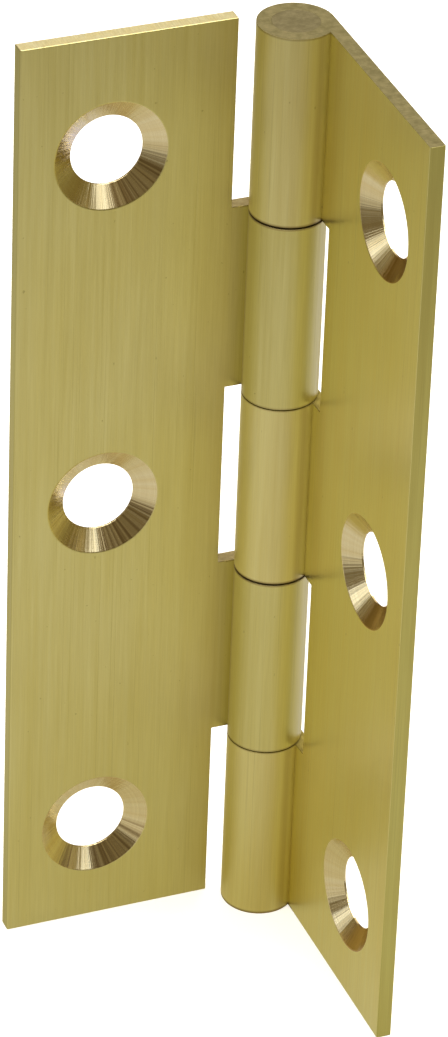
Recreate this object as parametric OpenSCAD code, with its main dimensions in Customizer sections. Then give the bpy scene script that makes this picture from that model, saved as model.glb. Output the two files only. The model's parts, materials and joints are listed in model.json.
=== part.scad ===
// Narrow brass butt hinge: two leaves that turn on one pin through five knuckles.
// The pin stands on the Z axis with its lower end at the origin. The leaves are drawn square
// to each other: the two-knuckle leaf runs along -X, the three-knuckle leaf along -Y.

/* [Leaves] */
// Height of the hinge along its pin
hinge_h = 76; // [72:1:100]
// Distance from the pin's axis to a leaf's outer edge
leaf_reach = 20; // [18.5:0.5:30]
// Thickness of a leaf
leaf_t = 1.15; // [0.9:0.05:1.6]

/* [Knuckles] */
// Outer diameter of the knuckles
barrel_d = 5.65; // [5:0.05:6.5]
// Diameter of the pin
pin_d = 3.5; // [2.5:0.1:3.8]
// Radial running clearance of the pin in the two-knuckle leaf
pin_play = 0.04; // [0.02:0.01:0.08]
// Mean gap between two neighbouring knuckles
knuckle_gap = 0.12; // [0.1:0.01:0.2]
// How far the two-knuckle leaf has settled down the pin
settle = 0.04; // [0:0.01:0.04]
// Distance from the pin's axis to the notches that clear the other leaf's knuckles
notch_reach = 3.65; // [3.5:0.05:4.2]

/* [Screw holes] */
// Diameter of the through hole
hole_d = 5.5; // [3.5:0.1:6]
// Diameter of the countersink at the leaf's face
sink_d = 8.6; // [8:0.1:9.4]
// Straight wall left under the countersink
sink_land = 0.15; // [0.1:0.05:0.3]
// Distance from the pin's axis to the row of holes
hole_reach = 13; // [11:0.5:14.5]
// Height of the lowest hole
first_hole_z = 8.4; // [6:0.1:10]
// Spacing between neighbouring holes
hole_pitch = 29.05; // [20:0.05:29.5]

/* [Hidden] */
$fn = 96;
knuckle_count = 5;
hole_count = 3;
barrel_r = barrel_d / 2;
pin_r = pin_d / 2;
knuckle_pitch = hinge_h / knuckle_count;
// A tool that opens a hole runs past both faces by this much.
past = 1;

// Leaves are drawn with x away from the pin, y out of the countersunk face and z up. A leaf's
// back is tangent to the barrel, so its countersunk face lies behind the pin's axis.

// Section through a knuckle and the strip of leaf that carries it
module knuckle_profile() {
    circle(r = barrel_r);
    translate([0, -barrel_r])
        square([leaf_reach / 2, leaf_t]);
}

module knuckle(bottom, top) {
    translate([0, 0, bottom])
        linear_extrude(height = top - bottom)
            knuckle_profile();
}

// Through hole and its cone, opening towards the countersunk face
module screw_hole(height) {
    cone_h = leaf_t - sink_land;
    translate([hole_reach, -barrel_r, height])
        rotate([-90, 0, 0]) {
            translate([0, 0, -past])
                cylinder(d = hole_d, h = leaf_t + past * 2);
            translate([0, 0, sink_land])
                cylinder(d1 = hole_d, d2 = sink_d, h = cone_h);
            translate([0, 0, leaf_t])
                cylinder(d = sink_d, h = past);
        }
}

// One leaf with every second knuckle from the stated one, counted from 0 at the bottom.
// Each end that faces a neighbour is cut back by end_low or end_high.
module leaf(first, bore_r, end_low, end_high) {
    difference() {
        union() {
            translate([notch_reach, -barrel_r, 0])
                cube([leaf_reach - notch_reach, leaf_t, hinge_h]);
            for (i = [first : 2 : knuckle_count - 1])
                knuckle(
                    i == 0 ? 0 : i * knuckle_pitch + end_low,
                    i == knuckle_count - 1 ? hinge_h : (i + 1) * knuckle_pitch - end_high
                );
        }
        translate([0, 0, -past])
            cylinder(r = bore_r, h = hinge_h + past * 2);
        for (i = [0 : hole_count - 1])
            screw_hole(first_hole_z + i * hole_pitch);
    }
}

// The door's leaf, free on the pin: the gap over each of its knuckles is the wider one.
module two_knuckle_leaf() {
    color([0.68, 0.62, 0.36])
        rotate([0, 0, 180])
            leaf(1, pin_r + pin_play, knuckle_gap / 2 - settle, knuckle_gap / 2 + settle);
}

// The frame's leaf, which holds the pin.
module three_knuckle_leaf() {
    color([0.63, 0.56, 0.28])
        rotate([0, 0, -90])
            mirror([0, 1, 0])
                leaf(0, pin_r, knuckle_gap / 2, knuckle_gap / 2);
}

module hinge_pin() {
    color([0.58, 0.53, 0.34])
        cylinder(r = pin_r, h = hinge_h);
}

two_knuckle_leaf();
three_knuckle_leaf();
hinge_pin();
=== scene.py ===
"""Looks of a narrow brass butt hinge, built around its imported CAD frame."""
import json
import math

import bmesh
import bpy
from mathutils import Matrix, Vector


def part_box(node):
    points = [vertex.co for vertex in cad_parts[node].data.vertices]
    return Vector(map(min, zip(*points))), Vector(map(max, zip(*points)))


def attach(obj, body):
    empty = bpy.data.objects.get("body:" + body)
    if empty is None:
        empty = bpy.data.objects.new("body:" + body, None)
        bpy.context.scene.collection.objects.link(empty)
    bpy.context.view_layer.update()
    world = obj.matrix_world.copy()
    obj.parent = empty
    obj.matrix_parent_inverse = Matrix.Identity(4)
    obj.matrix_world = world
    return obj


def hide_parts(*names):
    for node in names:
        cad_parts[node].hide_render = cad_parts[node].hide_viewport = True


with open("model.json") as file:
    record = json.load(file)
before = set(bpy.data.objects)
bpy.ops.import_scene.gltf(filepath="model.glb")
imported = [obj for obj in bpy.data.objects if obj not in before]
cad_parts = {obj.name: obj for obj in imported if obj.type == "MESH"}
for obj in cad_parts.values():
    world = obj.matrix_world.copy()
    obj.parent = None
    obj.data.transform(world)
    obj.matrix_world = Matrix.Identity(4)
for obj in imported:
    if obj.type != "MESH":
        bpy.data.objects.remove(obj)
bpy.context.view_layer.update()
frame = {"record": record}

# ---------------------------------------------------------------- dimensions, in millimetres
MM = 0.001
record = frame["record"]
mounts = {m["name"]: m for m in record["mounts"]}

BARREL_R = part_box("two_knuckle_leaf")[1].y / MM
LEAF_REACH = -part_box("two_knuckle_leaf")[0].x / MM
HINGE_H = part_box("two_knuckle_leaf")[1].z / MM
PIN_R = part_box("hinge_pin")[1].x / MM

screws = mounts["door_leaf_outer_screws"]
HOLE_REACH = -screws["pos_m"][0] / MM
HOLE_R = screws["dims"]["hole_r_mm"]
HOLE_PITCH = screws["dims"]["spacing_y_mm"] / 2
HOLE_Z = [screws["pos_m"][2] / MM + k * HOLE_PITCH for k in (-1, 0, 1)]

# Sizes that the frame doesn't give
LEAF_T = 1.15
SINK_R = 4.3
# Straight wall left under the countersink
SINK_LAND = 0.15
# Distance from the pin's axis to the notches
NOTCH_REACH = 3.65
# Radial running clearance of the pin in the door's leaf
PIN_PLAY = 0.04
KNUCKLE_GAP = 0.12
# How far the door's leaf has settled down the pin
SETTLE = 0.04
KNUCKLES = 5

FACE_N = LEAF_T - BARREL_R
BACK_N = -BARREL_R
KNUCKLE_PITCH = HINGE_H / KNUCKLES


# ---------------------------------------------------------------- leaves
# A leaf is built with u away from the pin, n out of its countersunk face and z up, in
# millimetres. In the row's frame u runs down one of the X and Y axes and n down the other. A
# leaf's axis is the number of the one that u runs down.
DOOR_AXIS, FRAME_AXIS = 0, 1

# Each leaf's finishes, in the order of its material slots
# The last finish is dull, and dark with painted shade: the knuckles' ends in the seams and the
# notches' lips
SATIN, TURNED, CUT, LINISHED, DULL_AND_SHADED = range(5)

# Two lengths closer than this are the same length.
SAME = 1e-6
# A point's coordinates are rounded to this many decimals, so that neighbouring faces share it.
DECIMALS = 5

# A square patch of fine cells surrounds each screw hole. RING points run round its edge.
PATCH_HALF = 5.2
PATCH_CELLS = 24
RING = PATCH_CELLS * 4
# Direction of the first of them from the hole's centre, in degrees
RING_START = -135
# Rings between the patch's edge and the hole's rim, as shares of the way from edge to rim
FRONT_SHARES = (0.0, 0.5)
BACK_SHARES = (0.75, 0.5, 0.25, 0.0)
CONE_STEPS = 6
# Largest cell elsewhere on a leaf
COARSE_CELL = 1.5

# Steps of a knuckle's outline round the barrel, and on along its flat back
ARC_STEPS = 64
BACK_STEPS = 4
# Directions from the pin's axis: to the corner between the face and the barrel, to the back,
# and to where the bore's points that serve the flat back stop, short of that corner
CORNER_ANGLE = math.atan2(FACE_N, math.sqrt(BARREL_R**2 - FACE_N**2))
BACK_ANGLE = math.pi * 3 / 2
BORE_BACK_ANGLE = math.radians(-50)


def evenly(low, high, steps):
    """steps + 1 evenly spaced values from low to high."""
    return [low + (high - low) * k / steps for k in range(steps + 1)]


def grid_lines(breaks, fine):
    """Grid lines through every break, with PATCH_CELLS cells across each fine stretch."""
    lines = [breaks[0]]
    for low, high in zip(breaks, breaks[1:]):
        if any(abs(low - a) < SAME and abs(high - b) < SAME for a, b in fine):
            steps = PATCH_CELLS
        else:
            steps = max(1, math.ceil((high - low) / COARSE_CELL))
        lines += evenly(low, high, steps)[1:]
    return lines


def knuckle_spans(first, low_cut, high_cut):
    """(bottom, top) of every second knuckle from the stated one, counted from 0.

    Each end that faces a neighbour is cut back by low_cut or high_cut.
    """
    spans = []
    for k in range(first, KNUCKLES, 2):
        bottom = 0 if k == 0 else k * KNUCKLE_PITCH + low_cut
        top = HINGE_H if k == KNUCKLES - 1 else (k + 1) * KNUCKLE_PITCH - high_cut
        spans.append((bottom, top))
    return spans


def in_patch(u, z):
    return abs(u - HOLE_REACH) < PATCH_HALF and any(abs(z - h) < PATCH_HALF for h in HOLE_Z)


def patch_edge(k):
    """Point k of RING round a patch's edge, from its low inner corner, as offsets in u and z."""
    side, step = divmod(k, PATCH_CELLS)
    along = -PATCH_HALF + 2 * PATCH_HALF * step / PATCH_CELLS
    return [
        (along, -PATCH_HALF),
        (PATCH_HALF, along),
        (-along, PATCH_HALF),
        (-PATCH_HALF, -along),
    ][side]


def knuckle_outline():
    """(u, n) round a knuckle's section, from the face round the barrel to the back."""
    points = [(NOTCH_REACH, FACE_N)]
    for a in evenly(CORNER_ANGLE, BACK_ANGLE, ARC_STEPS):
        points.append((BARREL_R * math.cos(a), BARREL_R * math.sin(a)))
    for u in evenly(0, BARREL_R * math.cos(CORNER_ANGLE), BACK_STEPS)[1:]:
        points.append((u, BACK_N))
    points.append((NOTCH_REACH, BACK_N))
    return points


def bore_outline(bore_r):
    """(u, n) round the bore, one for each point of the outline but its first and last."""
    angles = evenly(CORNER_ANGLE, BACK_ANGLE, ARC_STEPS)
    angles += evenly(BACK_ANGLE, 2 * math.pi + BORE_BACK_ANGLE, BACK_STEPS)[1:]
    return [(bore_r * math.cos(a), bore_r * math.sin(a)) for a in angles]


class LeafMesh:
    """Builds one leaf as a single closed mesh of quads."""

    def __init__(self, axis, spans, bore_r):
        self.bm = bmesh.new()
        self.axis = axis
        self.spans = spans
        self.bore_r = bore_r
        self.cache = {}
        patch_u = (HOLE_REACH - PATCH_HALF, HOLE_REACH + PATCH_HALF)
        patches_z = [(z - PATCH_HALF, z + PATCH_HALF) for z in HOLE_Z]
        ends = {z for span in spans for z in span}
        breaks_z = sorted({0.0, HINGE_H} | ends | {z for pair in patches_z for z in pair})
        self.us = grid_lines([NOTCH_REACH, *patch_u, LEAF_REACH], [patch_u])
        self.zs = grid_lines(breaks_z, patches_z)

    def vert(self, point):
        u, n, z = (round(value, DECIMALS) for value in point)
        if (u, n, z) not in self.cache:
            place = (-u, -n, z) if self.axis == DOOR_AXIS else (-n, -u, z)
            self.cache[u, n, z] = self.bm.verts.new(place)
        return self.cache[u, n, z]

    def face(self, points, finish=SATIN):
        verts = [self.vert(p) for p in points]
        if len(set(verts)) == len(verts):
            self.bm.faces.new(verts).material_index = finish

    def in_knuckle(self, low, high):
        middle = (low + high) / 2
        return any(a < middle < b for a, b in self.spans)

    def plate(self):
        """Both broad faces, left open at the patches, and the narrow edges."""
        for u0, u1 in zip(self.us, self.us[1:]):
            for z0, z1 in zip(self.zs, self.zs[1:]):
                if in_patch((u0 + u1) / 2, (z0 + z1) / 2):
                    continue
                for n in (FACE_N, BACK_N):
                    self.face([(u0, n, z0), (u1, n, z0), (u1, n, z1), (u0, n, z1)])
            for z in (0.0, HINGE_H):
                self.face(
                    [(u0, FACE_N, z), (u1, FACE_N, z), (u1, BACK_N, z), (u0, BACK_N, z)], CUT
                )
        for z0, z1 in zip(self.zs, self.zs[1:]):
            for u in (NOTCH_REACH, LEAF_REACH):
                if u == NOTCH_REACH and self.in_knuckle(z0, z1):
                    continue
                self.face(
                    [(u, FACE_N, z0), (u, FACE_N, z1), (u, BACK_N, z1), (u, BACK_N, z0)], LINISHED
                )

    def hole(self, z):
        """One screw hole: square patch to round rim on both faces, cone and land between."""
        land_n = BACK_N + SINK_LAND
        angles = [math.radians(RING_START + 360 * k / RING) for k in range(RING)]

        def ring(radius, n, share=1.0):
            """Points at the stated share of the way from the patch's edge to the circle."""
            points = []
            for k, a in enumerate(angles):
                du, dz = patch_edge(k)
                cu, cz = radius * math.cos(a), radius * math.sin(a)
                u = HOLE_REACH + du + (cu - du) * share
                points.append((u, n, z + dz + (cz - dz) * share))
            return points

        rings = [ring(SINK_R, FACE_N, s) for s in FRONT_SHARES]
        rings += [
            ring(SINK_R + (HOLE_R - SINK_R) * s, FACE_N + (land_n - FACE_N) * s)
            for s in evenly(0, 1, CONE_STEPS)
        ]
        rings.append(ring(HOLE_R, BACK_N))
        rings += [ring(HOLE_R, BACK_N, s) for s in BACK_SHARES]
        for a, b in zip(rings, rings[1:]):
            cut_by_tool = b[0][1] < FACE_N - SAME and a[0][1] > BACK_N + SAME
            for k in range(RING):
                j = (k + 1) % RING
                self.face([a[k], a[j], b[j], b[k]], TURNED if cut_by_tool else SATIN)

    def knuckle(self, bottom, top):
        """One knuckle's outside, bore and two ends."""
        outline, bore = knuckle_outline(), bore_outline(self.bore_r)
        rows = [z for z in self.zs if bottom - SAME < z < top + SAME]
        for z0, z1 in zip(rows, rows[1:]):
            for (u0, n0), (u1, n1) in zip(outline, outline[1:]):
                self.face([(u0, n0, z0), (u0, n0, z1), (u1, n1, z1), (u1, n1, z0)])
        count = len(bore)
        for k in range(count):
            (u0, n0), (u1, n1) = bore[k], bore[(k + 1) % count]
            self.face([(u0, n0, bottom), (u1, n1, bottom), (u1, n1, top), (u0, n0, top)])
        inner = outline[1:-1]
        for z in (bottom, top):
            # Ends that face a neighbouring knuckle take the dull finish, dark with painted shade
            end = CUT if z in (0, HINGE_H) else DULL_AND_SHADED
            for k in range(count):
                j = (k + 1) % count
                self.face([(*inner[k], z), (*inner[j], z), (*bore[j], z), (*bore[k], z)], end)
            lip = [(*outline[0], z), (*inner[0], z), (*inner[-1], z), (*outline[-1], z)]
            self.face(lip, end)

    def build(self):
        self.plate()
        for z in HOLE_Z:
            self.hole(z)
        for bottom, top in self.spans:
            self.knuckle(bottom, top)
        bmesh.ops.recalc_face_normals(self.bm, faces=self.bm.faces)
        return self.bm


# ---------------------------------------------------------------- rounded edges
# The bevel's own width, and the smaller width of each kind of edge
BEVEL_WIDTH = 0.25
OUTER_BREAK = 0.15
SINK_BREAK = 0.075
LEAF_BREAK = 0.0625
KNUCKLE_BREAK = 0.03
FINE_BREAK = 0.02
BREAK_SEGMENTS = 3
# Edges where the surface turns by less than this aren't edges of the part.
SHARP_ANGLE = math.radians(22)
# An edge lies on a surface when its middle is within this distance of it.
ON_SURFACE = 0.01
# An edge is upright when at least this share of its length is along the pin.
UPRIGHT = 0.9


def break_edges(bm, break_of):
    """Marks each convex sharp edge with its width from break_of; concave ones stay sharp."""
    layer = bm.edges.layers.float.new("bevel_weight_edge")
    for e in bm.edges:
        if len(e.link_faces) != 2:
            continue
        a, b = e.link_faces
        if a.normal.angle(b.normal, 0) < SHARP_ANGLE:
            continue
        if (b.calc_center_median() - a.calc_center_median()).dot(b.normal - a.normal) <= 0:
            e.smooth = False
            continue
        e[layer] = break_of(e) / BEVEL_WIDTH


def finish_mesh(name, bm):
    """Rounds the marked edges, scales to metres and links the piece."""
    mesh = bpy.data.meshes.new(name)
    bm.to_mesh(mesh)
    bm.free()
    for p in mesh.polygons:
        p.use_smooth = True
    piece = bpy.data.objects.new(name, mesh)
    bpy.context.scene.collection.objects.link(piece)
    bevel = piece.modifiers.new("edge_break", "BEVEL")
    bevel.limit_method = "WEIGHT"
    bevel.width = BEVEL_WIDTH
    bevel.segments = BREAK_SEGMENTS
    bevel.use_clamp_overlap = False
    bevel.loop_slide = False
    bevel.harden_normals = True
    graph = bpy.context.evaluated_depsgraph_get()
    piece.data = bpy.data.meshes.new_from_object(piece.evaluated_get(graph))
    piece.modifiers.clear()
    bpy.data.meshes.remove(mesh)
    piece.data.name = name
    piece.data.transform(Matrix.Scale(MM, 4))
    return piece


def leaf_breaks(leaf):
    """Widths of a leaf's edges: widest at the front of its outer edge, finest at the bore.

    The sawn top of the frame's leaf is as fine as the bore.
    """

    def break_of(edge):
        a, b = (v.co for v in edge.verts)
        middle = (a + b) / 2
        u, n = -middle[leaf.axis], -middle[1 - leaf.axis]
        upright = abs(a.z - b.z) > UPRIGHT * (a - b).length
        for z in HOLE_Z:
            if math.hypot(u - HOLE_REACH, middle.z - z) < SINK_R + ON_SURFACE:
                return SINK_BREAK if n > FACE_N - ON_SURFACE else KNUCKLE_BREAK
        if math.hypot(u, n) < leaf.bore_r + ON_SURFACE:
            return FINE_BREAK
        if leaf.axis == FRAME_AXIS and middle.z > HINGE_H - ON_SURFACE:
            return FINE_BREAK
        if upright and u > LEAF_REACH - ON_SURFACE and n > (FACE_N + BACK_N) / 2:
            return OUTER_BREAK
        if u < NOTCH_REACH - ON_SURFACE:
            return KNUCKLE_BREAK
        return LEAF_BREAK

    return break_of


# ---------------------------------------------------------------- the three pieces
def make_leaf(node, axis, spans, bore_r, body):
    leaf = LeafMesh(axis, spans, bore_r)
    bm = leaf.build()
    break_edges(bm, leaf_breaks(leaf))
    piece = finish_mesh(node + "_looks", bm)
    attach(piece, body)
    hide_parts(node)
    return piece


PIN_SIDES = 72
PIN_ROWS = 24
# Rings within each end of the pin, as shares of its radius
PIN_END_SHARES = (0.66, 0.33)


def make_pin():
    """Drawn wire, sawn and filed flush, with a small broken edge at each end."""
    bm = bmesh.new()

    def join(ring, other):
        for k in range(PIN_SIDES):
            j = (k + 1) % PIN_SIDES
            bm.faces.new([ring[k], ring[j], other[j], other[k]])

    angles = [2 * math.pi * k / PIN_SIDES for k in range(PIN_SIDES)]
    rings = [
        [bm.verts.new((PIN_R * math.cos(a), PIN_R * math.sin(a), z)) for a in angles]
        for z in evenly(0, HINGE_H, PIN_ROWS)
    ]
    for low, high in zip(rings, rings[1:]):
        join(low, high)
    for rim in (rings[0], rings[-1]):
        outer = rim
        for share in PIN_END_SHARES:
            inner = [bm.verts.new((v.co.x * share, v.co.y * share, v.co.z)) for v in rim]
            join(outer, inner)
            outer = inner
        bm.faces.new(outer)
    bmesh.ops.recalc_face_normals(bm, faces=bm.faces)
    break_edges(bm, lambda e: FINE_BREAK)
    piece = finish_mesh("hinge_pin_looks", bm)
    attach(piece, "frame_side")
    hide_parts("hinge_pin")
    return piece


door_leaf = make_leaf(
    "two_knuckle_leaf",
    DOOR_AXIS,
    knuckle_spans(1, KNUCKLE_GAP / 2 - SETTLE, KNUCKLE_GAP / 2 + SETTLE),
    PIN_R + PIN_PLAY,
    "door_side",
)
frame_leaf = make_leaf(
    "three_knuckle_leaf",
    FRAME_AXIS,
    knuckle_spans(0, KNUCKLE_GAP / 2, KNUCKLE_GAP / 2),
    PIN_R,
    "frame_side",
)
pin = make_pin()


# ---------------------------------------------------------------- material nodes
def feed(tree, socket, value):
    """Links another node's output to the socket, or sets a plain value on it."""
    if isinstance(value, bpy.types.NodeSocket):
        tree.links.new(value, socket)
    else:
        socket.default_value = value


def colour_mix(tree, share, a, b):
    """Mixes colour a with colour b by the share."""
    mix = tree.nodes.new("ShaderNodeMix")
    mix.data_type = "RGBA"
    feed(tree, mix.inputs["Factor"], share)
    for socket, value in zip([i for i in mix.inputs if i.type == "RGBA"], (a, b)):
        feed(tree, socket, value if isinstance(value, bpy.types.NodeSocket) else (*value, 1))
    return [o for o in mix.outputs if o.type == "RGBA"][0]


class Paint:
    """A material under construction. Patterns are laid out in millimetres on the piece."""

    def __init__(self, name):
        self.material = bpy.data.materials.new(name)
        self.material.use_nodes = True
        self.tree = self.material.node_tree
        self.nodes = self.tree.nodes
        self.shader = self.nodes["Principled BSDF"]
        self.shader.inputs["Metallic"].default_value = 1
        coords = self.nodes.new("ShaderNodeTexCoord")
        self.place = self.vector("DIVIDE", coords.outputs["Object"], (MM, MM, MM))

    def feed(self, socket, value):
        feed(self.tree, socket, value)

    def vector(self, operation, a, b=(0, 0, 0)):
        node = self.nodes.new("ShaderNodeVectorMath")
        node.operation = operation
        self.feed(node.inputs[0], a)
        self.feed(node.inputs[1], b)
        return node.outputs["Value" if operation in ("LENGTH", "DOT_PRODUCT") else "Vector"]

    def maths(self, operation, *values):
        node = self.nodes.new("ShaderNodeMath")
        node.operation = operation
        for socket, value in zip(node.inputs, values):
            self.feed(socket, value)
        return node.outputs[0]

    def parts(self, vector):
        node = self.nodes.new("ShaderNodeSeparateXYZ")
        self.feed(node.inputs[0], vector)
        return node.outputs

    def joined(self, x, y, z):
        node = self.nodes.new("ShaderNodeCombineXYZ")
        for socket, value in zip(node.inputs, (x, y, z)):
            self.feed(socket, value)
        return node.outputs[0]

    def noise(self, cell, seed, detail=2.0, place=None):
        """Smooth noise from 0 to 1 with cells of the stated size along X, Y and Z."""
        cells = self.vector("DIVIDE", place or self.place, cell)
        shift = self.joined(seed, 0.0, seed)
        node = self.nodes.new("ShaderNodeTexNoise")
        self.feed(node.inputs["Vector"], self.vector("ADD", cells, shift))
        node.inputs["Scale"].default_value = 1
        node.inputs["Detail"].default_value = detail
        return node.outputs[0]

    def ramp(self, value, low, high, out_low=0.0, out_high=1.0):
        """Maps low..high to out_low..out_high, and holds it there beyond both ends."""
        node = self.nodes.new("ShaderNodeMapRange")
        for socket, number in zip(node.inputs, (value, low, high, out_low, out_high)):
            self.feed(socket, number)
        return node.outputs[0]

    def blend(self, share, a, b):
        return colour_mix(self.tree, share, a, b)

    def weighted(self, *terms):
        """Sum of the values, each times its weight."""
        products = [self.maths("MULTIPLY", value, weight) for value, weight in terms]
        total = products[0]
        for product in products[1:]:
            total = self.maths("ADD", total, product)
        return total

    def finish(self, colour, roughness, height):
        """Connects the surface; height is in millimetres."""
        bump = self.nodes.new("ShaderNodeBump")
        bump.inputs["Distance"].default_value = MM
        self.feed(bump.inputs["Height"], height)
        self.feed(self.shader.inputs["Base Color"], colour)
        self.feed(self.shader.inputs["Roughness"], roughness)
        self.feed(self.shader.inputs["Normal"], bump.outputs[0])
        return self.material

    def grain_along_pin(self, strength):
        """Reflections spread round the pin, across the grain."""
        tangent = self.nodes.new("ShaderNodeTangent")
        tangent.direction_type = "RADIAL"
        tangent.axis = "Z"
        self.feed(self.shader.inputs["Tangent"], tangent.outputs[0])
        self.shader.inputs["Anisotropic"].default_value = strength


def darker(colour, share):
    return tuple(c * share for c in colour)


# ---------------------------------------------------------------- painted shade in seams and corners
# Brown painted shade: in the seams between the knuckles, in the corner between the barrel and the
# leaf, over the barrel's side towards that corner, and on the leaf beside the knuckles
CORNER_SHADE_BROWN = (0.32, 0.2, 0.06)
SEAM_SHADE_BROWN = (0.2, 0.12, 0.05)
# Where the painted shade beside the knuckles has faded out, along u
BESIDE_END = BARREL_R * 2.6
# How far past the barrel the painted shade in the seams reaches, along u
SEAM_PAST_BARREL = 0.2
# Distances from a seam where its painted shade starts to fade and is gone, and its share at the
# seam
WIDE_SEAM_FADE = (0.1, 0.26)
WIDE_SEAM_SHARE = 0.7
THIN_SEAM_FADE = (0.08, 0.2)
THIN_SEAM_SHARE = 0.4
# Direction from the pin to the corner between a leaf's face and the barrel, along u and n.
# The three fades below are cosines of the angle from it, as seen from the pin.
CORNER_SIDE = (math.sqrt(1 - (FACE_N / BARREL_R) ** 2), FACE_N / BARREL_R, 0.0)
BARREL_FADE = (0.05, 0.5)
CORNER_FADE_IN = (0.84, 0.94)
CORNER_FADE_OUT = (0.965, 0.998)
CORNER_SHARE = 0.42
# Share of the corner's painted shade that is left right in the corner
CORNER_REST = 0.3


def shade_seams_and_corner(paint, colour, u, n, z, on_barrel, beside, barrel):
    """Paints brown shade in the barrel's seams and in its corner with the leaf.

    beside and barrel are the shares of it on the leaf beside the knuckles and over the barrel.
    """
    on_leaf = paint.ramp(u, NOTCH_REACH, BESIDE_END, beside, 0.0)
    on_leaf = paint.maths("MULTIPLY", on_leaf, paint.ramp(u, BARREL_R, NOTCH_REACH))
    outward = paint.vector("NORMALIZE", paint.joined(u, n, 0.0))
    towards_corner = paint.vector("DOT_PRODUCT", outward, CORNER_SIDE)
    all_over = paint.ramp(towards_corner, *BARREL_FADE, barrel / 3, barrel)
    corner = paint.ramp(towards_corner, *CORNER_FADE_IN, 0.0, CORNER_SHARE)
    in_angle = paint.ramp(towards_corner, *CORNER_FADE_OUT, 1.0, CORNER_REST)
    corner = paint.maths("MULTIPLY", corner, in_angle)
    share = paint.maths("MULTIPLY", paint.maths("MAXIMUM", corner, all_over), on_barrel)
    colour = paint.blend(paint.maths("MAXIMUM", share, on_leaf), colour, CORNER_SHADE_BROWN)
    turn = paint.maths("WRAP", z, KNUCKLE_PITCH, -KNUCKLE_PITCH)
    to_wide_seam = paint.maths("ABSOLUTE", turn)
    to_thin_seam = paint.maths("SUBTRACT", KNUCKLE_PITCH, to_wide_seam)
    wide_seam = paint.ramp(to_wide_seam, *WIDE_SEAM_FADE, WIDE_SEAM_SHARE, 0.0)
    thin_seam = paint.ramp(to_thin_seam, *THIN_SEAM_FADE, THIN_SEAM_SHARE, 0.0)
    seam = paint.maths("MAXIMUM", wide_seam, thin_seam)
    near_barrel = paint.maths("LESS_THAN", u, BARREL_R + SEAM_PAST_BARREL)
    return paint.blend(paint.maths("MULTIPLY", seam, near_barrel), colour, SEAM_SHADE_BROWN)


# ---------------------------------------------------------------- linished brass
# Cells of its patterns along X, Y and Z, in millimetres
CLOUD_CELL = (7, 7, 16)
BAND_CELL = (1.6, 1.6, 45)
STREAK_CELL = (0.32, 0.32, 14)
GRAIN_CELL = (0.075, 0.075, 3.5)
PIT_CELL = (0.22, 0.22, 0.4)
SCRATCH_CELL = (0.11, 0.11, 26)
# How much each of the first three turns the colour from pale to deep
CLOUD_WEIGHT = 0.45
BAND_WEIGHT = 0.3
STREAK_WEIGHT = 0.25
# Between which values of a pattern its effect grows from none to full
SHIFT_RANGE = (0.36, 0.64)
GRAIN_RANGE = (0.25, 0.75)
STREAK_RANGE = (0.25, 0.75)
PIT_RANGE = (0.87, 0.9)
SCRATCH_RANGE = (0.72, 0.8)
# The darker colour of grain, pits and scratches, as a share of the deep one, and how much of
# it each takes
DARK_SHARE = 0.55
GRAIN_SHADE = 0.16
PIT_SHADE = 0.5
SCRATCH_SHADE = 0.18
# Heights of the relief, in millimetres
GRAIN_HEIGHT = 0.0022
STREAK_HEIGHT = 0.0045
SCRATCH_DEPTH = 0.003
PIT_DEPTH = 0.01

SATIN_ROUGHNESS = (0.29, 0.39)
# How much rougher the barrel is
BARREL_ROUGHER = 0.07
# Over which distances from the pin the barrel's looks give way to the leaf's
BARREL_END = (BARREL_R * 1.01, BARREL_R * 1.12)
SATIN_ANISOTROPY = 0.5


def satin_brass(name, pale, deep, seed, axis, beside=0.0, barrel=0.0):
    """Linished brass: long bands, streaks and fine grain along the pin, a few pits.

    beside and barrel are the shares of painted shade on the leaf beside the knuckles and over the
    barrel.
    """
    paint = Paint(name)
    paint.grain_along_pin(SATIN_ANISOTROPY)
    clouds = paint.noise(CLOUD_CELL, seed)
    bands = paint.noise(BAND_CELL, seed + 1)
    streaks = paint.noise(STREAK_CELL, seed + 2)
    grain = paint.noise(GRAIN_CELL, seed + 3)
    pits = paint.noise(PIT_CELL, seed + 4, detail=0.0)
    scratches = paint.noise(SCRATCH_CELL, seed + 5, detail=0.0)

    shift = paint.weighted((bands, BAND_WEIGHT), (streaks, STREAK_WEIGHT), (clouds, CLOUD_WEIGHT))
    colour = paint.blend(paint.ramp(shift, *SHIFT_RANGE), pale, deep)
    dark = darker(deep, DARK_SHARE)
    colour = paint.blend(paint.ramp(grain, *GRAIN_RANGE, 0.0, GRAIN_SHADE), colour, dark)
    pits = paint.ramp(pits, *PIT_RANGE, 0.0, PIT_SHADE)
    colour = paint.blend(pits, colour, dark)
    scratches = paint.ramp(scratches, *SCRATCH_RANGE)
    colour = paint.blend(paint.maths("MULTIPLY", scratches, SCRATCH_SHADE), colour, dark)

    sides = paint.parts(paint.place)
    u = paint.maths("MULTIPLY", sides[axis], -1.0)
    n = paint.maths("MULTIPLY", sides[1 - axis], -1.0)
    from_pin = paint.vector("LENGTH", paint.joined(u, n, 0.0))
    on_barrel = paint.ramp(from_pin, *BARREL_END, 1.0, 0.0)
    # Painted shade in the seams and in the corner beside the barrel
    colour = shade_seams_and_corner(paint, colour, u, n, sides[2], on_barrel, beside, barrel)
    roughness = paint.ramp(streaks, *STREAK_RANGE, *SATIN_ROUGHNESS)
    roughness = paint.maths("MULTIPLY_ADD", on_barrel, BARREL_ROUGHER, roughness)
    height = paint.weighted(
        (grain, GRAIN_HEIGHT),
        (streaks, STREAK_HEIGHT),
        (scratches, -SCRATCH_DEPTH),
        (pits, -PIT_DEPTH),
    )
    return paint.finish(colour, roughness, height)


# ---------------------------------------------------------------- turned brass
# Cells of the radial marks, on a circle of radius 1
CHATTER_CELL = (0.12, 0.12, 0.12)
FINE_CHATTER_CELL = (0.025, 0.025, 0.025)
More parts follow.
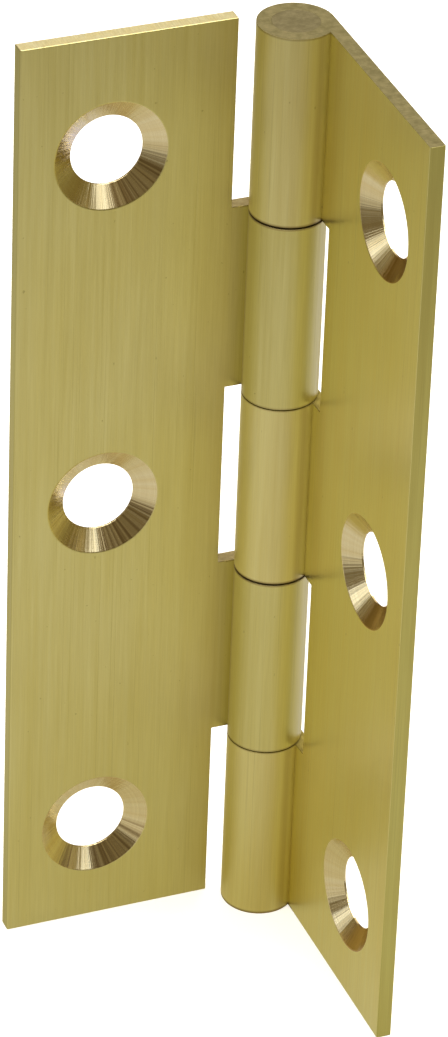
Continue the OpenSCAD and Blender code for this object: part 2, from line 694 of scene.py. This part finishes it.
# The next cell is that of the streaks in the painted dark reflection at the inner low side
INNER_REFLECTION_CELL = (0.07, 0.07, 0.07)
# Cells of the cutter's rings, along the radius in millimetres and round such a circle
TURNING_CELL = (0.05, 2.5, 2.5)
# Added to the seed from each hole to the next
HOLE_SEED = 3.7

TURNED_PALE = (0.93, 0.86, 0.58)
TURNED_DEEP = (0.86, 0.75, 0.44)
TURNING_BROWN = (0.6, 0.45, 0.22)
TURNING_SHADE = 0.2
# Painted dark reflections in the countersinks: plain at the outer low side, in streaks at the
# inner low side
OUTER_DARK_REFLECTION = (0.6, 0.36, 0.16)
INNER_DARK_REFLECTION = (0.4, 0.3, 0.14)
TURNED_ROUGHNESS = (0.12, 0.24)
# Between which values of a pattern its effect grows from none to full
CHATTER_RANGE = (0.35, 0.7)
FINE_CHATTER_RANGE = (0.3, 0.7)
INNER_REFLECTION_RANGE = (0.4, 0.62)
TURNING_RANGE = (0.3, 0.7)
# Heights of the relief, in millimetres
CHATTER_HEIGHT = 0.024
FINE_CHATTER_HEIGHT = 0.007
TURNING_HEIGHT = 0.0015

# Unit directions from a screw hole, along the leaf towards the pin and up, and the cosines of
# the angle from each at which the painted dark reflection on that side begins and is full
OUTER_LOW_SIDE = (-0.5, -0.866, 0.0)
OUTER_LOW_FADE = (0.8, 0.94)
INNER_LOW_SIDE = (0.616, -0.788, 0.0)
INNER_LOW_FADE = (0.76, 0.84)


def turned_brass(name, seed, axis, outer_reflection_share, inner_reflection_share):
    """Countersinks: bright, with fine rings and radial chatter marks left by the cutter.

    The last two arguments are the shares of painted dark reflection: plain at their outer low
    side, and in streaks like the chatter at their inner low side.
    """
    paint = Paint(name)
    sides = paint.parts(paint.place)
    along = paint.maths("ADD", sides[axis], HOLE_REACH)
    turn = paint.maths("WRAP", sides[2], HOLE_Z[0] + HOLE_PITCH / 2, HOLE_Z[0] - HOLE_PITCH / 2)
    height = paint.maths("SUBTRACT", turn, HOLE_Z[0])
    which = paint.maths("ROUND", paint.maths("DIVIDE", sides[2], HOLE_PITCH))
    hole_seed = paint.maths("MULTIPLY_ADD", which, HOLE_SEED, seed)
    radial = paint.joined(along, height, 0.0)
    radius = paint.vector("LENGTH", radial)
    outward = paint.vector("NORMALIZE", radial)
    around = paint.parts(outward)

    chatter = paint.noise(CHATTER_CELL, hole_seed, detail=2.0, place=outward)
    fine = paint.noise(FINE_CHATTER_CELL, hole_seed, detail=1.0, place=outward)
    marks = paint.noise(INNER_REFLECTION_CELL, hole_seed, detail=1.0, place=outward)
    ring_place = paint.joined(radius, around[0], around[1])
    rings = paint.noise(TURNING_CELL, hole_seed, detail=1.0, place=ring_place)

    colour = paint.blend(paint.ramp(chatter, *CHATTER_RANGE), TURNED_PALE, TURNED_DEEP)
    share = paint.ramp(rings, *TURNING_RANGE, 0.0, TURNING_SHADE)
    colour = paint.blend(share, colour, TURNING_BROWN)
    # Painted dark reflection at each hole's outer low side
    outer_low = paint.vector("DOT_PRODUCT", outward, OUTER_LOW_SIDE)
    share = paint.ramp(outer_low, *OUTER_LOW_FADE, 0.0, outer_reflection_share)
    colour = paint.blend(share, colour, OUTER_DARK_REFLECTION)
    # Painted dark reflection in streaks like the chatter, at each hole's inner low side
    inner_low = paint.vector("DOT_PRODUCT", outward, INNER_LOW_SIDE)
    share = paint.ramp(marks, *INNER_REFLECTION_RANGE, 0.0, inner_reflection_share)
    share = paint.maths("MULTIPLY", share, paint.ramp(inner_low, *INNER_LOW_FADE))
    colour = paint.blend(share, colour, INNER_DARK_REFLECTION)

    roughness = paint.ramp(fine, *FINE_CHATTER_RANGE, *TURNED_ROUGHNESS)
    relief = paint.weighted(
        (chatter, CHATTER_HEIGHT), (fine, FINE_CHATTER_HEIGHT), (rings, TURNING_HEIGHT)
    )
    return paint.finish(colour, roughness, relief)


# ---------------------------------------------------------------- cut brass
# Cells of its patterns along X, Y and Z, in millimetres
BLOTCH_CELL = (0.6, 0.6, 0.6)
ROUGH_CELL = (0.09, 0.09, 0.09)
# Between which values of a pattern its effect grows from none to full
BLOTCH_RANGE = (0.3, 0.7)
LINE_RANGE = (0.35, 0.75)
ROUGH_RANGE = (0.35, 0.75)
# The darker colour of the lines and the fine marks, as a share of the deep one, and how much
# of it each takes
CUT_DARK_SHARE = 0.5
LINE_SHADE = 0.35
ROUGH_SHADE = 0.25
# How far the roughness varies to either side
ROUGHNESS_SWING = 0.06
# Heights of the relief, in millimetres
LINE_HEIGHT = 0.012
ROUGH_HEIGHT = 0.006


def cut_brass(name, pale, deep, roughness, cell, seed):
    """Cut ends: lines left by the blade, in cells of the stated size, and dull blotches."""
    paint = Paint(name)
    lines = paint.noise(cell, seed)
    blotches = paint.noise(BLOTCH_CELL, seed + 1)
    rough = paint.noise(ROUGH_CELL, seed + 2)
    colour = paint.blend(paint.ramp(blotches, *BLOTCH_RANGE), pale, deep)
    dark = darker(deep, CUT_DARK_SHARE)
    colour = paint.blend(paint.ramp(lines, *LINE_RANGE, 0.0, LINE_SHADE), colour, dark)
    colour = paint.blend(paint.ramp(rough, *ROUGH_RANGE, 0.0, ROUGH_SHADE), colour, dark)
    smoothest, roughest = roughness - ROUGHNESS_SWING, roughness + ROUGHNESS_SWING
    roughness = paint.ramp(blotches, *BLOTCH_RANGE, smoothest, roughest)
    height = paint.weighted((lines, LINE_HEIGHT), (rough, ROUGH_HEIGHT))
    return paint.finish(colour, roughness, height)


# ---------------------------------------------------------------- the pieces' materials
FACE_PALE = (0.82, 0.78, 0.37)
FACE_DEEP = (0.77, 0.71, 0.28)
# The frame's leaf takes a lighter copy of the same brass: painted light, making up for the dimmer
# reflections that it gets
FRAME_PALE = (0.96, 0.92, 0.47)
FRAME_DEEP = (0.93, 0.85, 0.37)
# The narrow edges take a darker copy of the same brass: painted shade
EDGE_PALE = (0.66, 0.63, 0.22)
EDGE_DEEP = (0.6, 0.55, 0.18)


def dress(piece, *materials):
    """Gives the piece its materials, in the order of its slots."""
    for material in materials:
        piece.data.materials.append(material)


dress(
    door_leaf,
    satin_brass("door_satin", FACE_PALE, FACE_DEEP, seed=1.0, axis=DOOR_AXIS, beside=0.22),
    turned_brass("door_countersinks", seed=11.0, axis=DOOR_AXIS, outer_reflection_share=0.0, inner_reflection_share=0.85),
    cut_brass(
        "door_cut_ends",
        pale=(0.9, 0.82, 0.48),
        deep=(0.8, 0.7, 0.36),
        roughness=0.36,
        cell=(0.12, 2.0, 2.0),
        seed=21.0,
    ),
    satin_brass("door_edges", EDGE_PALE, EDGE_DEEP, seed=31.0, axis=DOOR_AXIS),
    # Notch lips and the knuckles' ends in the seams: dull, and dark with painted shade
    cut_brass(
        "door_notches",
        pale=(0.5, 0.42, 0.22),
        deep=(0.36, 0.29, 0.14),
        roughness=0.62,
        cell=(1.0, 0.2, 0.6),
        seed=35.0,
    ),
)
dress(
    frame_leaf,
    satin_brass("frame_satin", FRAME_PALE, FRAME_DEEP, seed=41.0, axis=FRAME_AXIS, barrel=0.17),
    turned_brass("frame_countersinks", seed=51.0, axis=FRAME_AXIS, outer_reflection_share=0.8, inner_reflection_share=0.0),
    cut_brass(
        "frame_cut_ends",
        pale=(0.335, 0.29, 0.14),
        deep=(0.23, 0.2, 0.09),
        roughness=0.6,
        cell=(2.0, 0.12, 2.0),
        seed=61.0,
    ),
    satin_brass("frame_edges", EDGE_PALE, EDGE_DEEP, seed=71.0, axis=FRAME_AXIS),
    # Notch lips and the knuckles' ends in the seams: dull, and dark with painted shade
    cut_brass(
        "frame_notches",
        pale=(0.52, 0.44, 0.13),
        deep=(0.36, 0.29, 0.08),
        roughness=0.62,
        cell=(0.2, 1.0, 0.6),
        seed=75.0,
    ),
)
dress(
    pin,
    cut_brass(
        "pin_ends",
        pale=(0.29, 0.25, 0.13),
        deep=(0.21, 0.18, 0.09),
        roughness=0.6,
        cell=(0.4, 0.12, 2.0),
        seed=81.0,
    ),
)


# ---------------------------------------------------------------- floor and card, in metres
def stage_piece(name, corners, colour, glow):
    """One flat piece of the studio. glow is the light that it gives of its own."""
    mesh = bpy.data.meshes.new(name)
    mesh.from_pydata(corners, [], [range(len(corners))])
    piece = bpy.data.objects.new(name, mesh)
    bpy.context.scene.collection.objects.link(piece)
    piece.visible_shadow = False
    material = bpy.data.materials.new(name)
    material.use_nodes = True
    shader = material.node_tree.nodes["Principled BSDF"]
    shader.inputs["Base Color"].default_value = (*colour, 1)
    shader.inputs["Roughness"].default_value = 1
    shader.inputs["Specular IOR Level"].default_value = 0
    shader.inputs["Emission Color"].default_value = (*colour, 1)
    shader.inputs["Emission Strength"].default_value = glow
    mesh.materials.append(material)
    return piece


def floor_piece(name, reach, colour, glow):
    """A square floor round the hinge, to the stated distance each way."""
    corners = [(-reach, -reach, 0), (reach, -reach, 0), (reach, reach, 0), (-reach, reach, 0)]
    return stage_piece(name, corners, colour, glow)


def distance_ramp(tree, near, near_value, far, far_value):
    """A value that depends on the distance from the piece's origin."""
    coords = tree.nodes.new("ShaderNodeTexCoord")
    distance = tree.nodes.new("ShaderNodeVectorMath")
    distance.operation = "LENGTH"
    ramp = tree.nodes.new("ShaderNodeMapRange")
    for socket, number in zip(ramp.inputs[1:5], (near, far, near_value, far_value)):
        socket.default_value = number
    tree.links.new(coords.outputs["Object"], distance.inputs[0])
    tree.links.new(distance.outputs["Value"], ramp.inputs["Value"])
    return ramp.outputs[0]


def fade_with_distance(piece, near, near_glow, far, far_glow):
    """Fades a stage piece's own light with the distance from its origin."""
    tree = piece.data.materials[0].node_tree
    glow = distance_ramp(tree, near, near_glow, far, far_glow)
    tree.links.new(glow, tree.nodes["Principled BSDF"].inputs["Emission Strength"])


def tint_near(piece, near, tint, far, colour):
    """Tints a stage piece's own light close to its origin."""
    tree = piece.data.materials[0].node_tree
    mixed = colour_mix(tree, distance_ramp(tree, near, 0, far, 1), tint, colour)
    tree.links.new(mixed, tree.nodes["Principled BSDF"].inputs["Emission Color"])


# The table is photographed over-exposed, so the floor that the camera sees is lighter than the
# one that the metal reflects. The reflected one ends where the table goes dark.
SEEN_FLOOR = (0.92, 0.92, 0.92)
MIRRORED_FLOOR = (0.13, 0.12, 0.1)
# Painted warm shade of the hinge on the reflected floor
FLOOR_SHADE_NEAR_HINGE = (0.117, 0.102, 0.056)
seen_floor = floor_piece("floor_seen", 3, SEEN_FLOOR, 0.5)
seen_floor.visible_glossy = False
seen_floor.visible_diffuse = False
mirrored_floor = floor_piece("floor_mirrored", 0.33, MIRRORED_FLOOR, 0.0)
mirrored_floor.visible_camera = False
mirrored_floor.location.z = -0.5 * MM
# The reflected floor glows of its own: a painted pool of light round the hinge, full out to 0.1 m
# and faded by 0.24 m
fade_with_distance(mirrored_floor, near=0.1, near_glow=3.45, far=0.24, far_glow=0.3)
# Painted warm shade on the reflected floor close to the hinge, from 6 mm out to 32 mm
tint_near(
    mirrored_floor, near=0.006, tint=FLOOR_SHADE_NEAR_HINGE, far=0.032, colour=MIRRORED_FLOOR
)

# A wedge of pale card that glows of its own, on the table beyond the frame's leaf and hidden
# from the camera; its light is seen in the knuckles' flanks.
CARD_CORNERS = [(0.014, 0.0005, 0), (0.25, -0.004, 0), (0.25, 0.11, 0), (0.014, 0.007, 0)]
CARD_COLOUR = (0.29, 0.285, 0.43)
card = stage_piece("card", CARD_CORNERS, CARD_COLOUR, 1.1)
card.visible_camera = False
card.location.z = -0.4 * MM

# ---------------------------------------------------------------- light
# How high the walls end and the ceiling is at its full light: 0 is level and 1 straight up.
CEILING_EDGE = (0.52, 0.66)
WALL_LIGHT = 0.17
CEILING_LIGHT = 0.5
ROOM_COLOUR = (1, 0.76, 0.4, 1)


def sky():
    """Pale ceiling over dark walls."""
    world = bpy.data.worlds.new("studio")
    bpy.context.scene.world = world
    world.use_nodes = True
    nodes, links = world.node_tree.nodes, world.node_tree.links
    coords = nodes.new("ShaderNodeTexCoord")
    parts = nodes.new("ShaderNodeSeparateXYZ")
    rise = nodes.new("ShaderNodeMapRange")
    for socket, number in zip(rise.inputs[1:5], (*CEILING_EDGE, WALL_LIGHT, CEILING_LIGHT)):
        socket.default_value = number
    links.new(coords.outputs["Generated"], parts.inputs[0])
    links.new(parts.outputs["Z"], rise.inputs["Value"])
    links.new(rise.outputs[0], nodes["Background"].inputs["Strength"])
    nodes["Background"].inputs["Color"].default_value = ROOM_COLOUR


def seen_from(azimuth, elevation):
    """Unit vectors to the right and towards the eye, for an eye that looks at the hinge.

    The angles are in degrees. Azimuth 0 is -Y and grows towards +X.
    """
    turn, rise = math.radians(azimuth), math.radians(elevation)
    right = Vector((math.cos(turn), math.sin(turn), 0))
    towards = Vector(
        (math.sin(turn) * math.cos(rise), -math.cos(turn) * math.cos(rise), math.sin(rise))
    )
    return right, towards


def placed(where, right, up, back):
    """Transform of a light or camera from its place and its own three axes."""
    return Matrix.Translation(where) @ Matrix((right, up, back)).transposed().to_4x4()


HINGE_MIDDLE = Vector((0, 0, HINGE_H / 2 * MM))


def softbox(name, azimuth, elevation, distance, width, height, radiance):
    """A soft area light that faces the hinge, in metres."""
    data = bpy.data.lights.new(name, "AREA")
    data.shape = "RECTANGLE"
    data.size = width
    data.size_y = height
    data.energy = radiance * math.pi * width * height
    light = bpy.data.objects.new(name, data)
    across, towards = seen_from(azimuth, elevation)
    where = HINGE_MIDDLE + towards * distance
    light.matrix_world = placed(where, across, towards.cross(across), towards)
    light.visible_camera = False
    bpy.context.scene.collection.objects.link(light)


sky()
softbox("overhead", 0, 88, distance=1.0, width=1.2, height=1.2, radiance=3.6)
softbox("front", 40, 32, distance=1.2, width=0.66, height=0.6, radiance=1.15)
softbox("back_left", -116, 14, distance=1.2, width=0.55, height=0.42, radiance=1.1)
softbox("back", 157, 36, distance=1.2, width=0.7, height=0.5, radiance=0.9)

# ---------------------------------------------------------------- camera
# It looks down on the open leaves. Angles are in degrees, and lengths in millimetres.
VIEW_AZIMUTH = -22.69
VIEW_ELEVATION = 32.59
VIEW_ROLL = math.radians(2.26)
VIEW_DISTANCE = 409.3
VIEW_AIM_Z = 34.29
VIEW_AIM_ASIDE = -3.70
VIEW_LENS = 191.1
SENSOR_WIDTH = 36
# The nearest and farthest things that it sees, in metres
VIEW_NEAR = 0.01
VIEW_FAR = 20

level, towards_eye = seen_from(VIEW_AZIMUTH, VIEW_ELEVATION)
aim = (Vector((0, 0, VIEW_AIM_Z)) + level * VIEW_AIM_ASIDE) * MM
upright = towards_eye.cross(level)
right = level * math.cos(VIEW_ROLL) + upright * math.sin(VIEW_ROLL)
camera_data = bpy.data.cameras.new("camera")
camera_data.lens = VIEW_LENS
camera_data.sensor_width = SENSOR_WIDTH
camera_data.clip_start = VIEW_NEAR
camera_data.clip_end = VIEW_FAR
camera = bpy.data.objects.new("camera", camera_data)
eye = aim + towards_eye * VIEW_DISTANCE * MM
camera.matrix_world = placed(eye, right, towards_eye.cross(right), towards_eye)
bpy.context.scene.collection.objects.link(camera)
bpy.context.scene.camera = camera

bpy.context.scene.view_settings.view_transform = "Standard"
